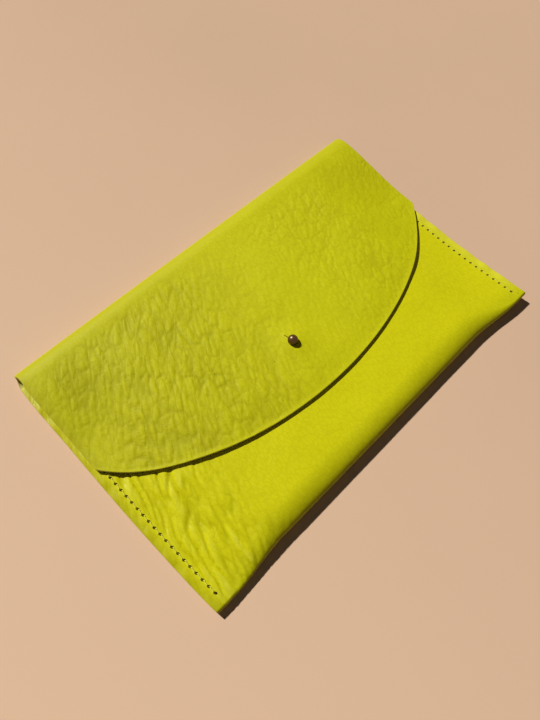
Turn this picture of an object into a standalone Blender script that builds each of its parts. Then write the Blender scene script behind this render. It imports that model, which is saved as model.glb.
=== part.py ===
"""Envelope pouch of soft leather, lying on its back with the flap closed.

One sheet is folded twice: back panel, bottom fold, front panel and flap. Two sewn
seams close the sides, and a brass ball stud on the front panel holds the flap.
+X is the long side, +Y points to the top fold, +Z is up. The origin is on the
surface that the pouch lies on, below the middle of its outline.
"""
import math

import bmesh
import bpy
from mathutils import Matrix, Vector

MM = 0.001

# Leather sheet, folded
POUCH_WIDTH = 215 * MM
POUCH_DEPTH = 136.5 * MM        # bottom fold to top fold
LEATHER = 1.4 * MM
POCKET_HEIGHT = 5.2 * MM        # clear inside, where the pouch is puffed
PLY_GAP = 0.3 * MM              # between the two plies of a sewn side
FLAP_CLEARANCE = 0.5 * MM       # front panel to flap
MOUTH_SETBACK = 6 * MM          # top fold to the front panel's free edge

# How the empty pouch lies
SEWN_STRIP = 7 * MM             # flat margin along each side
PUFF_RUN = 34 * MM              # from the margin to full height
BOTTOM_RUN = 11 * MM            # front panel's roll into the bottom fold
BOTTOM_LOW = 0.42               # height of the bottom fold's tip, of its thickness
BOTTOM_BOW = 2.8 * MM           # the puffed bottom fold is drawn in this much
BOTTOM_SKEW = 0.5 * MM          # its right end lies this much nearer the top fold
SIDE_LIFT = 0.9 * MM            # sewn sides stand off the surface
LIFT_FADE = 12 * MM
CORNER_CURL = 1.6 * MM          # extra lift of the lower right corner
CURL_REACH = 45 * MM
FOLD_SHIFT = 1.3 * MM           # the top fold and the flap lie this far to the right
BOTTOM_SHIFT = 0.4 * MM         # and the bottom fold this far
POCKET_BOW = -2.15 * MM         # between them the pocket bows to the left
BOW_FULLNESS = 0.6              # below 1 the bow starts sooner at the folds

# Flap
FLAP_LENGTH = 101.5 * MM        # top fold to the tip of the flap
FLAP_SIDE = 59 * MM           # top fold to the flap's corners
FLAP_ROUND = 10 * MM          # the ellipse of the flap's edge ends this far past them
FLAP_SETTLE = 24 * MM           # from the fold's height down to the sewn sides
BEND_GAP = 0.3 * MM             # between the rigid lengths of the bent leather

# Seams
SEAM_INSET = 4.9 * MM
STITCH_PITCH = 3.6 * MM
SEAM_START = 6.5 * MM           # bottom fold to the first stitch
SEAM_END = 8 * MM               # least distance of the last stitch to the top fold
THREAD = 0.4 * MM
THREAD_CLEARANCE = 0.15 * MM
THREAD_SINK = 0.1 * MM          # depth of the thread's middle below the leather

# Ball stud and its screw
STUD_FROM_FOLD = 74.5 * MM
STUD_ASIDE = -1.7 * MM          # left of the pocket's middle line
BALL_DIAMETER = 5 * MM
NECK_DIAMETER = 3 * MM
FLANGE_DIAMETER = 6.6 * MM
FLANGE_THICKNESS = 0.5 * MM
SEAT_DEPTH = 0.4 * MM           # the flange is pressed this deep into the leather
SEAT_GAP = 0.2 * MM
BALL_STAND_OFF = 0.2 * MM       # ball to flap
NECK_CLEARANCE = 0.35 * MM      # neck to the flap's hole
SLIT_LENGTH = 4 * MM
SLIT_WIDTH = 0.4 * MM
SHANK_DIAMETER = 2 * MM
SHANK_CLEARANCE = 0.25 * MM
SHANK_BITE = 3 * MM             # length of the shank inside the stud
SCREW_HEAD_DIAMETER = 7 * MM
SCREW_HEAD_THICKNESS = 1 * MM
SCREW_CHAMFER = 0.25 * MM
SCREW_GAP = 0.25 * MM           # screw head to the leather
SLOT_WIDTH = 1 * MM
SLOT_DEPTH = 0.4 * MM

# Fineness of the faceted leather
PUFF_STEPS = 6
MIDDLE_STEPS = 2
BACK_STEPS = 8
FRONT_STEPS = 7
TURN_STEPS = 4
ROLL_STEPS = 6
FLAP_COLUMNS = 28
FLAP_ROWS = 9
TURNED_STEPS = 24
BALL_STEPS = 10
HOLE_SIDES = 6
GROOVE_STEPS = 11
CUT_ROW = 0.03                  # width of the row at a cut edge, of its stretch
WELD = 0.005 * MM               # points closer than this are one

# Sizes that follow from the ones above
HALF_WIDTH = POUCH_WIDTH / 2
HALF_DEPTH = POUCH_DEPTH / 2
SEWN_THICKNESS = 2 * LEATHER + PLY_GAP
PUFFED_THICKNESS = 2 * LEATHER + POCKET_HEIGHT
CLOSED_THICKNESS = PUFFED_THICKNESS + FLAP_CLEARANCE + LEATHER
FOLD_RADIUS = CLOSED_THICKNESS / 2
FOLD_Y = HALF_DEPTH - FOLD_RADIUS
MOUTH_Y = HALF_DEPTH - MOUTH_SETBACK
SEAM_X = HALF_WIDTH - SEAM_INSET
STUD_Y = HALF_DEPTH - STUD_FROM_FOLD

# The flap turns about two lines on the fold's outer face, an eighth turn below and
# above its middle, so no length of leather cuts into the next one as it opens.
BEND_ANGLE = math.radians(45)
BEND_HALF_GAP = BEND_GAP / FOLD_RADIUS / 2


def fold_point(angle):
    """(y, z) on the top fold's outer face; 0 is its outermost line, + is up."""
    return FOLD_Y + FOLD_RADIUS * math.cos(angle), FOLD_RADIUS + FOLD_RADIUS * math.sin(angle)


LOWER_BEND = Vector((0, *fold_point(-BEND_ANGLE)))
UPPER_BEND = Vector((0, *fold_point(BEND_ANGLE)))


def ease(t):
    """0 to 1 with level ends."""
    t = min(max(t, 0), 1)
    return t * t * (3 - 2 * t)


def mix(low, high, t):
    return low + (high - low) * t


def pocket_shift(y):
    """How far right of its place on a straight pouch a point of the pocket lies."""
    share = min(max((y + HALF_DEPTH) / POUCH_DEPTH, 0), 1)
    bow = POCKET_BOW * math.sin(math.pi * share) ** BOW_FULLNESS
    return mix(BOTTOM_SHIFT, FOLD_SHIFT, share) + bow


def fold_shift(y):
    return FOLD_SHIFT


def puff(x):
    """0 on the sewn margins, 1 over the middle of the pouch."""
    return ease((HALF_WIDTH - SEWN_STRIP - abs(x)) / PUFF_RUN)


def back_height(x, y):
    """Underside of the back panel."""
    curl = CORNER_CURL * ease(1 - (HALF_WIDTH - x) / CURL_REACH)
    curl *= ease(1 - (y + HALF_DEPTH) / CURL_REACH)
    return (SIDE_LIFT * ease((FOLD_Y - y) / LIFT_FADE) + curl) * (1 - puff(x))


def bottom_roll(x):
    """Section of the bottom fold: tip y, tip height, run and rise of its upper half."""
    thickness = mix(SEWN_THICKNESS, PUFFED_THICKNESS, puff(x))
    tip_y = BOTTOM_BOW * puff(x) + BOTTOM_SKEW * ease((x + HALF_WIDTH) / POUCH_WIDTH) - HALF_DEPTH
    low = mix(0.5, BOTTOM_LOW, puff(x)) * thickness
    run = mix(SEWN_THICKNESS / 2, BOTTOM_RUN, puff(x))
    return tip_y, low, run, thickness - low


def front_height(x, y):
    """Outer face of the front panel, with its roll down to the bottom fold."""
    tip_y, low, run, rise = bottom_roll(x)
    level = back_height(x, y) + low
    reach = min(max((tip_y + run - y) / run, 0), 1)
    return level + rise * math.sqrt(1 - reach * reach)


def turn_point(x, t):
    """Lower eighth of the top fold, from the lower bend line to the back panel."""
    angle = mix(-BEND_ANGLE - BEND_HALF_GAP, -math.pi / 2, t)
    return Vector((x, *fold_point(angle)))


def back_point(x, t):
    tip_y, low, _, _ = bottom_roll(x)
    y = mix(FOLD_Y, tip_y + low, t)
    return Vector((x, y, back_height(x, y)))


def under_roll_point(x, t):
    """Lower half of the bottom fold, up to its tip."""
    tip_y, low, _, _ = bottom_roll(x)
    angle = math.pi / 2 * t
    y = tip_y + low * (1 - math.sin(angle))
    return Vector((x, y, back_height(x, y) + low * (1 - math.cos(angle))))


def upper_roll_point(x, t):
    """Upper half of the bottom fold, from its tip to the front panel."""
    tip_y, low, run, rise = bottom_roll(x)
    angle = math.pi / 2 * t
    y = tip_y + run * (1 - math.cos(angle))
    return Vector((x, y, back_height(x, y) + low + rise * math.sin(angle)))


def front_point(x, t):
    tip_y, _, run, _ = bottom_roll(x)
    y = mix(tip_y + run, MOUTH_Y, t)
    return Vector((x, y, front_height(x, y)))


def fold_strip_point(x, t):
    """Middle quarter of the top fold, from the upper bend line to the lower."""
    angle = mix(BEND_ANGLE - BEND_HALF_GAP, -BEND_ANGLE + BEND_HALF_GAP, t)
    return Vector((x, *fold_point(angle)))


def flap_edge_y(x):
    """Free edge of the flap: part of an ellipse, from corner to corner through the tip."""
    reach = HALF_WIDTH + FLAP_ROUND
    height = (FLAP_LENGTH - FLAP_SIDE) / (1 - math.sqrt(1 - (HALF_WIDTH / reach) ** 2))
    return HALF_DEPTH - FLAP_LENGTH + height * (1 - math.sqrt(1 - (x / reach) ** 2))


def flap_point(x, t):
    """Outer face of the flap, from its free edge to where the fold begins."""
    y = mix(flap_edge_y(x), FOLD_Y, t)
    lying = front_height(x, y) + FLAP_CLEARANCE + LEATHER
    return Vector((x, y, mix(CLOSED_THICKNESS, lying, ease((FOLD_Y - y) / FLAP_SETTLE))))


def flap_turn_point(x, t):
    """Upper eighth of the top fold, from the flap to the upper bend line."""
    angle = mix(math.pi / 2, BEND_ANGLE + BEND_HALF_GAP, t)
    return Vector((x, *fold_point(angle)))


def rows(point, steps, cut_first=False, cut_last=False):
    """The rows of a stretch of sheet, which begins where the last stretch ended.

    A narrow row beside a cut edge keeps that edge square to the bent leather.
    """
    places = [step / steps for step in range(1, steps + 1)]
    if cut_first:
        places = [0, CUT_ROW, *places]
    if cut_last:
        places = [*places[:-1], 1 - CUT_ROW, 1]
    return [(point, t) for t in places]


def panel_columns():
    """x of the pouch's columns, closer together where the panels curve."""
    inner = HALF_WIDTH - SEWN_STRIP - PUFF_RUN
    side = [inner + PUFF_RUN * step / PUFF_STEPS for step in range(PUFF_STEPS + 1)]
    side.append(HALF_WIDTH)
    middle = [mix(-inner, inner, step / MIDDLE_STEPS) for step in range(1, MIDDLE_STEPS)]
    return [-x for x in reversed(side)] + middle + side


def material(name, color, roughness, metallic=0.0):
    made = bpy.data.materials.new(name)
    made.use_nodes = True
    shader = made.node_tree.nodes["Principled BSDF"]
    shader.inputs["Base Color"].default_value = (*color, 1)
    shader.inputs["Roughness"].default_value = roughness
    shader.inputs["Metallic"].default_value = metallic
    return made


def add_object(name, data, collection, finish=None):
    obj = bpy.data.objects.new(name, data)
    collection.objects.link(obj)
    if finish:
        data.materials.append(finish)
    return obj


def add_mesh(name, bm, collection, finish=None):
    mesh = bpy.data.meshes.new(name)
    bm.to_mesh(mesh)
    bm.free()
    return add_object(name, mesh, collection, finish)


def leather_panel(name, columns, lengths, shift, collection, finish):
    """A flat grid laid on the panel's outer face, with the leather's thickness inwards."""
    bm = bmesh.new()
    bmesh.ops.create_grid(bm, x_segments=len(columns) - 1, y_segments=len(lengths) - 1, size=0.5)
    for vert in bm.verts:
        x = columns[round((vert.co.x + 0.5) * (len(columns) - 1))]
        point, t = lengths[round((vert.co.y + 0.5) * (len(lengths) - 1))]
        vert.co = point(x, t)
        vert.co.x += shift(vert.co.y)
    panel = add_mesh(name, bm, collection, finish)
    shell = panel.modifiers.new("leather", "SOLIDIFY")
    shell.thickness = LEATHER
    shell.offset = -1
    shell.use_even_offset = True
    return panel


def hang_on(piece, axis_point):
    """Moves the object's origin onto its bend line and leaves its shape in place."""
    piece.data.transform(Matrix.Translation(-axis_point))
    piece.location = axis_point


def cutter_object(name, bm, collection):
    obj = add_mesh(name, bm, collection)
    obj.hide_render = True
    obj.display_type = "WIRE"
    return obj


def cut(piece, cutter):
    boolean = piece.modifiers.new(cutter.name, "BOOLEAN")
    boolean.operation = "DIFFERENCE"
    boolean.solver = "EXACT"
    boolean.object = cutter


def add_cylinder(bm, radius, low, high, segments):
    """A closed upright cylinder between two points, added to a cutter's mesh."""
    made = bmesh.ops.create_cone(
        bm, cap_ends=True, segments=segments, radius1=radius, radius2=radius, depth=(high - low).length)
    bmesh.ops.translate(bm, verts=made["verts"], vec=(low + high) / 2)


def add_box(bm, low, high):
    made = bmesh.ops.create_cube(bm, size=1)
    bmesh.ops.scale(bm, verts=made["verts"], vec=high - low)
    bmesh.ops.translate(bm, verts=made["verts"], vec=(low + high) / 2)


def wire(name, points, diameter, collection, finish=None):
    """A four-sided tube along the points, with filled ends."""
    curve = bpy.data.curves.new(name, "CURVE")
    curve.dimensions = "3D"
    curve.bevel_depth = diameter / 2
    curve.bevel_resolution = 0
    curve.use_fill_caps = True
    spline = curve.splines.new("POLY")
    spline.points.add(len(points) - 1)
    for spot, place in zip(spline.points, points):
        spot.co = (*place, 1)
    return add_object(name, curve, collection, finish)


def turned(name, profile, collection, finish):
    """A profile of (radius, height) points, top to bottom on its outer side, spun about Z."""
    bm = bmesh.new()
    spots = [bm.verts.new((radius, 0, height)) for radius, height in profile]
    for first, second in zip(spots, spots[1:]):
        bm.edges.new((first, second))
    obj = add_mesh(name, bm, collection, finish)
    spin = obj.modifiers.new("turn", "SCREW")
    spin.steps = TURNED_STEPS
    spin.render_steps = TURNED_STEPS
    spin.use_merge_vertices = True
    spin.merge_threshold = WELD
    return obj


def stitch_places():
    """y of each awl hole, from the bottom fold upwards."""
    first = SEAM_START - HALF_DEPTH
    count = math.floor((HALF_DEPTH - SEAM_END - first) / STITCH_PITCH) + 1
    return [first + STITCH_PITCH * index for index in range(count)]


# Thread legs stand this far each side of a hole's middle, and the hole clears them.
LEG_OFFSET = THREAD / 2 + THREAD_CLEARANCE / 2
HOLE_RADIUS = (LEG_OFFSET + THREAD / 2 + THREAD_CLEARANCE) / math.cos(math.pi / HOLE_SIDES)


def seam_surface(x, y, side):
    """Height of the thread's middle: side is 1 on the front panel, -1 on the back."""
    if side > 0:
        return front_height(x, y) - THREAD_SINK
    return back_height(x, y) + THREAD_SINK


def thread_points(x, side):
    """Along the leather from hole to hole, dipping to between the plies in each one."""
    points = []
    for y in stitch_places():
        middle = back_height(x, y) + SEWN_THICKNESS / 2
        dip = middle + side * (THREAD + THREAD_CLEARANCE) / 2
        before, after = y - LEG_OFFSET, y + LEG_OFFSET
        points.append((x, before, seam_surface(x, before, side)))
        points.append((x, before, dip))
        points.append((x, after, dip))
        points.append((x, after, seam_surface(x, after, side)))
    return on_pocket(points[1:-1])


def on_pocket(points):
    """Carried sideways with the pocket's bow."""
    return [(x + pocket_shift(y), y, z) for x, y, z in points]


def groove_points(x, side):
    """The groove runs a little past the first and last hole."""
    places = stitch_places()
    first, last = places[0] - 2 * HOLE_RADIUS, places[-1] + 2 * HOLE_RADIUS
    places = [mix(first, last, step / GROOVE_STEPS) for step in range(GROOVE_STEPS + 1)]
    return on_pocket([(x, y, seam_surface(x, y, side)) for y in places])


def groove_cutter(x, side, collection):
    """A V groove, cut with a bigger wire than the thread and about the same line."""
    guide = wire("groove", groove_points(x, side), THREAD + 3 * THREAD_CLEARANCE, collection)
    depsgraph = bpy.context.evaluated_depsgraph_get()
    mesh = bpy.data.meshes.new_from_object(guide.evaluated_get(depsgraph))
    bm = bmesh.new()
    bm.from_mesh(mesh)
    bmesh.ops.remove_doubles(bm, verts=bm.verts, dist=WELD)
    bpy.data.objects.remove(guide)
    return cutter_object("stitch_groove", bm, collection)


def seam_hole_cutter(x, collection):
    """One awl hole through both plies for each stitch."""
    bm = bmesh.new()
    for y in stitch_places():
        low = (x, y, back_height(x, y) - LEATHER)
        high = (x, y, front_height(x, y) + LEATHER)
        low, high = map(Vector, on_pocket([low, high]))
        add_cylinder(bm, HOLE_RADIUS, low, high, HOLE_SIDES)
    return cutter_object("awl_holes", bm, collection)


# Heights of the stud's parts, from the front panel's outer face at the stud
STUD_X = pocket_shift(STUD_Y) + STUD_ASIDE
STUD_FACE = front_height(STUD_X, STUD_Y)
FLANGE_LOW = STUD_FACE - SEAT_DEPTH + SEAT_GAP
FLAP_TOP = STUD_FACE + FLAP_CLEARANCE + LEATHER
BALL_RADIUS = BALL_DIAMETER / 2
BALL_Z = FLAP_TOP + BALL_STAND_OFF + math.sqrt(BALL_RADIUS ** 2 - (NECK_DIAMETER / 2) ** 2)
SCREW_LOW = STUD_FACE - LEATHER - SCREW_GAP - SCREW_HEAD_THICKNESS


def stud_profile():
    """Ball, neck and flange, then the blind hole for the screw, seen from the base."""
    base = FLANGE_LOW
    ball = BALL_Z - base
    neck = NECK_DIAMETER / 2
    bore = SHANK_DIAMETER / 2 + SHANK_CLEARANCE
    last = math.acos(-math.sqrt(1 - (neck / BALL_RADIUS) ** 2))
    angles = [last * step / BALL_STEPS for step in range(BALL_STEPS + 1)]
    profile = [(BALL_RADIUS * math.sin(a), ball + BALL_RADIUS * math.cos(a)) for a in angles]
    profile += [
        (neck, FLANGE_THICKNESS),
        (FLANGE_DIAMETER / 2, FLANGE_THICKNESS),
        (FLANGE_DIAMETER / 2, 0),
        (bore, 0),
        (bore, SHANK_BITE + SHANK_CLEARANCE),
        (0, SHANK_BITE + SHANK_CLEARANCE),
    ]
    return profile


def screw_profile():
    """Shank and head, seen from the head's outer face."""
    head_top = SCREW_HEAD_THICKNESS
    shank_top = FLANGE_LOW - SCREW_LOW + SHANK_BITE
    return [
        (0, shank_top),
        (SHANK_DIAMETER / 2, shank_top),
        (SHANK_DIAMETER / 2, head_top),
        (SCREW_HEAD_DIAMETER / 2, head_top),
        (SCREW_HEAD_DIAMETER / 2, SCREW_CHAMFER),
        (SCREW_HEAD_DIAMETER / 2 - SCREW_CHAMFER, 0),
        (0, 0),
    ]


def build_shell(parts, cutters, leather):
    lengths = rows(turn_point, TURN_STEPS, cut_first=True)
    lengths += rows(back_point, BACK_STEPS)
    lengths += rows(under_roll_point, TURN_STEPS)
    lengths += rows(upper_roll_point, ROLL_STEPS)
    lengths += rows(front_point, FRONT_STEPS)
    shell = leather_panel("pouch_shell", panel_columns(), lengths, pocket_shift, parts, leather)
    for x in (-SEAM_X, SEAM_X):
        cut(shell, seam_hole_cutter(x, cutters))
        for side in (1, -1):
            cut(shell, groove_cutter(x, side, cutters))

    seat = bmesh.new()
    low = Vector((STUD_X, STUD_Y, STUD_FACE - SEAT_DEPTH))
    add_cylinder(seat, FLANGE_DIAMETER / 2 + SEAT_GAP, low, low + Vector((0, 0, LEATHER)), TURNED_STEPS)
    cut(shell, cutter_object("stud_seat", seat, cutters))
    hole = bmesh.new()
    low = Vector((STUD_X, STUD_Y, STUD_FACE - 2 * LEATHER))
    high = Vector((STUD_X, STUD_Y, STUD_FACE + LEATHER))
    add_cylinder(hole, SHANK_DIAMETER / 2 + SHANK_CLEARANCE, low, high, TURNED_STEPS)
    cut(shell, cutter_object("stud_hole", hole, cutters))
    return shell


def build_top_fold(parts, leather):
    columns = [mix(-HALF_WIDTH, HALF_WIDTH, step / MIDDLE_STEPS) for step in range(MIDDLE_STEPS + 1)]
    lengths = rows(fold_strip_point, 2 * TURN_STEPS, cut_first=True, cut_last=True)
    strip = leather_panel("top_fold", columns, lengths, fold_shift, parts, leather)
    hang_on(strip, LOWER_BEND)
    return strip


def build_flap(parts, cutters, leather):
    columns = [mix(-HALF_WIDTH, HALF_WIDTH, step / FLAP_COLUMNS) for step in range(FLAP_COLUMNS + 1)]
    lengths = rows(flap_point, FLAP_ROWS, cut_first=True)
    lengths += rows(flap_turn_point, TURN_STEPS, cut_last=True)
    flap = leather_panel("flap", columns, lengths, fold_shift, parts, leather)
    hang_on(flap, UPPER_BEND)

    low = Vector((STUD_X, STUD_Y, FLAP_TOP - 2 * LEATHER))
    high = Vector((STUD_X, STUD_Y, FLAP_TOP + LEATHER))
    hole_radius = NECK_DIAMETER / 2 + NECK_CLEARANCE
    slit = bmesh.new()
    corner = Vector((SLIT_WIDTH / 2, hole_radius + SLIT_LENGTH, 0))
    add_box(slit, low - Vector((SLIT_WIDTH / 2, 0, 0)), high + corner)
    cut(flap, cutter_object("keyhole_slit", slit, cutters))
    hole = bmesh.new()
    add_cylinder(hole, hole_radius, low, high, TURNED_STEPS)
    cut(flap, cutter_object("keyhole", hole, cutters))
    return flap


def build_stud(parts, cutters, brass):
    head = turned("stud_head", stud_profile(), parts, brass)
    head.location = (STUD_X, STUD_Y, FLANGE_LOW)
    screw = turned("stud_screw", screw_profile(), parts, brass)
    screw.location = (STUD_X, STUD_Y, SCREW_LOW)
    slot = bmesh.new()
    centre = Vector((STUD_X, STUD_Y, SCREW_LOW))
    half = Vector((SCREW_HEAD_DIAMETER, SLOT_WIDTH / 2, SLOT_DEPTH))
    add_box(slot, centre - half, centre + half)
    cut(screw, cutter_object("screw_slot", slot, cutters))
    return head, screw


def build_threads(parts, thread):
    sides = (("left", -SEAM_X), ("right", SEAM_X))
    layers = (("needle_thread", 1), ("bobbin_thread", -1))
    return [
        wire(f"{layer}_{side}", thread_points(x, face), THREAD, parts, thread)
        for layer, face in layers
        for side, x in sides
    ]


def hinge_empty(name, place, parent, collection):
    empty = bpy.data.objects.new(name, None)
    collection.objects.link(empty)
    empty.parent = parent
    empty.location = place - (parent.matrix_world.translation if parent else Vector())
    bpy.context.view_layer.update()
    return empty


def hold(piece, parent):
    """Parents a finished piece and leaves it where it is."""
    piece.parent = parent
    piece.matrix_parent_inverse = parent.matrix_world.inverted()


def main():
    for obj in list(bpy.data.objects):
        bpy.data.objects.remove(obj)
    parts = bpy.data.collections.new("leather_envelope_pouch")
    cutters = bpy.data.collections.new("cutters")
    for collection in (parts, cutters):
        bpy.context.scene.collection.children.link(collection)

    leather = material("lime_leather", (0.53, 0.49, 0.03), 0.45)
    brass = material("aged_brass", (0.42, 0.31, 0.13), 0.3, 1.0)
    thread = material("lime_thread", (0.60, 0.57, 0.12), 0.7)

    build_shell(parts, cutters, leather)
    strip = build_top_fold(parts, leather)
    flap = build_flap(parts, cutters, leather)
    build_stud(parts, cutters, brass)
    build_threads(parts, thread)

    lower = hinge_empty("flap_fold_lower", LOWER_BEND, None, parts)
    upper = hinge_empty("flap_fold_upper", UPPER_BEND, lower, parts)
    hold(strip, lower)
    hold(flap, upper)


main()
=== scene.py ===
import math

import bmesh
import bpy
import numpy as np
from mathutils import Matrix, Vector, noise

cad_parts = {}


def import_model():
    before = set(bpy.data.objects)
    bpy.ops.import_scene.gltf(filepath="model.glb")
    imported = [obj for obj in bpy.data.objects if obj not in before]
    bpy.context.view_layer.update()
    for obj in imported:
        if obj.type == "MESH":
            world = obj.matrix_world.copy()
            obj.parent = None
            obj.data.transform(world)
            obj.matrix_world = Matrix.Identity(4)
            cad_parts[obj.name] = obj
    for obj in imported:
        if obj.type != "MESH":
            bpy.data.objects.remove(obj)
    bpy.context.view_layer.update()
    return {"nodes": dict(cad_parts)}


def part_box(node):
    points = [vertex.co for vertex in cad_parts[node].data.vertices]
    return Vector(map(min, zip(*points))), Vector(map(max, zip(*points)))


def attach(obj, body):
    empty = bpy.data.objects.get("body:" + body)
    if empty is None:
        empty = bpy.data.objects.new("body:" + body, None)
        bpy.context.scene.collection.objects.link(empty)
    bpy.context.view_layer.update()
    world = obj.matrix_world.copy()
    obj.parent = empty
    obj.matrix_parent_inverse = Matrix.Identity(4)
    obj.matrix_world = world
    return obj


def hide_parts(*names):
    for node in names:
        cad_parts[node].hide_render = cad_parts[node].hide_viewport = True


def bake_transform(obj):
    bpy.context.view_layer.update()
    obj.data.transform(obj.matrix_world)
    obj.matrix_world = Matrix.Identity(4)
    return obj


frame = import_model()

# Pocket: back panel, bottom fold and front panel
# One sheet of soft, drum dyed leather, lime on its grain side, folded up at the bottom.
# The empty pocket stays puffed in the middle and lies flat along its two sewn sides.
MM = 0.001
POUCH_WIDTH = 215 * MM
HALF_WIDTH = POUCH_WIDTH / 2
HALF_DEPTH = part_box("top_fold")[1].y
CLOSED_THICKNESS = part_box("flap")[1].z
LEATHER = 1.4 * MM
SEWN_THICKNESS = 3.1 * MM        # of both plies at a seam
PUFFED_THICKNESS = 8.0 * MM      # and in the middle, with the air between them
SEWN_STRIP = 7 * MM
PUFF_RUN = 34 * MM
BOTTOM_RUN = 11 * MM             # the bottom fold rounds up over this length
BOTTOM_LOW = 0.42                # height of its outermost line, as a share
BOTTOM_BOW = 2.8 * MM            # its middle is drawn in, and its right end a little
BOTTOM_SKEW = 0.5 * MM
SIDE_LIFT = 0.9 * MM             # the sewn sides lift off the floor
LIFT_FADE = 12 * MM
CORNER_CURL = 1.6 * MM           # and the bottom right corner curls up
CURL_REACH = 45 * MM
FOLD_SHIFT = 1.3 * MM
BOTTOM_SHIFT = 0.4 * MM
POCKET_BOW = -2.15 * MM          # both sides of the pocket bow to the left
BOW_FULLNESS = 0.6
MOUTH_Y = HALF_DEPTH - 6 * MM
MOUTH_DIP = 0.9 * MM
MOUTH_RUN = 14 * MM
FOLD_END = 0.95                  # share of the fold's thickness left at its ends
FOLD_TAPER = 60 * MM
PLY_SLIP = 0.9 * MM              # the left side of the pocket peeps out beside the fold
SEAM_X = POUCH_WIDTH / 2 - 4.9 * MM
STITCH_PITCH = 3.6 * MM
STITCHES = 34
FIRST_STITCH = 6.5 * MM - HALF_DEPTH
GROOVE_DEPTH = 0.2 * MM
GROOVE_WIDTH = 0.5 * MM
RIM_ROUND = 0.22 * MM
RELIEF = 0.62 * MM               # depth of the strongest creases, and of the drawn folds
FOLD_RELIEF = 0.85 * MM

stud_low, stud_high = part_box("stud_head")
STUD_X = (stud_low.x + stud_high.x) / 2
STUD_Y = (stud_low.y + stud_high.y) / 2


def ease(t):
    """0 to 1 with level ends."""
    t = np.clip(t, 0, 1)
    return t * t * (3 - 2 * t)


def mix(low, high, t):
    return low + (high - low) * t


def beyond(place, start, run):
    """0 up to a start and 1 a run beyond it, both in millimetres."""
    return ease((place - start * MM) / (run * MM))


def before(place, start, run):
    """1 a run before a start and 0 from the start on, both in millimetres."""
    return ease((start * MM - place) / (run * MM))


def near_side(x, side, parts):
    """1 at the left (-1) or right (1) side, 0 further in than one of so many parts."""
    return ease(side * parts * x / HALF_WIDTH - (parts - 1))


def pocket_shift(y):
    """The pocket bows to the left between its two folds."""
    share = np.clip((y + HALF_DEPTH) / (2 * HALF_DEPTH), 0, 1)
    bow = POCKET_BOW * np.sin(np.pi * share) ** BOW_FULLNESS
    return mix(BOTTOM_SHIFT, FOLD_SHIFT, share) + bow


def puff(x):
    """0 on the sewn margins, 1 over the middle of the pouch."""
    return ease((HALF_WIDTH - SEWN_STRIP - abs(x)) / PUFF_RUN)


def fold_radius(x):
    """The top fold is pressed flatter towards its ends."""
    share = ease((HALF_WIDTH - abs(x)) / FOLD_TAPER)
    return CLOSED_THICKNESS / 2 * mix(FOLD_END, 1, share)


def fold_start(x):
    return HALF_DEPTH - fold_radius(x)


def back_height(x, y):
    curl = CORNER_CURL * ease(1 - (HALF_WIDTH - x) / CURL_REACH)
    curl = curl * ease(1 - (y + HALF_DEPTH) / CURL_REACH)
    return (SIDE_LIFT * ease((fold_start(x) - y) / LIFT_FADE) + curl) * (1 - puff(x))


def bottom_roll(x):
    """Section of the bottom fold: tip y, tip height, run and rise of its upper half."""
    thickness = mix(SEWN_THICKNESS, PUFFED_THICKNESS, puff(x))
    low = mix(0.5, BOTTOM_LOW, puff(x)) * thickness
    run = mix(SEWN_THICKNESS / 2, BOTTOM_RUN, puff(x))
    tip_y = BOTTOM_BOW * puff(x) + BOTTOM_SKEW * ease((x + HALF_WIDTH) / POUCH_WIDTH) - HALF_DEPTH
    return tip_y, low, run, thickness - low


def front_height(x, y):
    """The front panel sinks a little towards the pocket's mouth."""
    tip_y, low, run, rise = bottom_roll(x)
    reach = np.clip((tip_y + run - y) / run, 0, 1)
    dip = MOUTH_DIP * puff(x) * ease(1 - (MOUTH_Y - y) / MOUTH_RUN)
    return back_height(x, y) + low + rise * np.sqrt(1 - reach * reach) - dip


def fold_turn(x, run, quarter):
    """A quarter of the top fold from its outermost line, up for 1 and down for -1."""
    def section(t):
        angle = math.pi / 2 * t
        y = HALF_DEPTH - run * (1 - math.cos(angle))
        return y, fold_radius(x) * (1 + quarter * math.sin(angle))
    return section


def back_section(x):
    tip_y, low, _, _ = bottom_roll(x)

    def section(t):
        y = mix(fold_start(x), tip_y + low, t)
        return y, back_height(x, y)
    return section


def under_roll(x):
    tip_y, low, _, _ = bottom_roll(x)

    def section(t):
        angle = math.pi / 2 * t
        y = tip_y + low * (1 - math.sin(angle))
        return y, back_height(x, y) + low * (1 - math.cos(angle))
    return section


def upper_roll(x):
    tip_y, low, run, rise = bottom_roll(x)

    def section(t):
        angle = math.pi / 2 * t
        y = tip_y + run * (1 - math.cos(angle))
        return y, back_height(x, y) + low + rise * math.sin(angle)
    return section


def front_section(x):
    tip_y, _, run, _ = bottom_roll(x)

    def section(t):
        y = mix(tip_y + run, MOUTH_Y, t)
        return y, front_height(x, y)
    return section


def lay_sheet(columns, stretches, shift):
    """Outer face as rows of points, from stretches of (section, places along it)."""
    rows = []
    for section, steps in stretches:
        for t in steps:
            y, z = section(t)
            y, z = y + 0 * columns, z + 0 * columns
            rows.append(np.stack([columns + shift(columns, y), y, z], axis=-1))
    return np.array(rows)


def face_normals(points):
    along, across = np.gradient(points, axis=0), np.gradient(points, axis=1)
    normals = np.cross(across, along)
    return normals / np.linalg.norm(normals, axis=-1, keepdims=True)


def run_length(points):
    """Length along each column from the first row, which is the top fold's middle."""
    steps = np.linalg.norm(np.diff(points, axis=0), axis=-1)
    return np.vstack([np.zeros(points.shape[1]), np.cumsum(steps, axis=0)])


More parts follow.
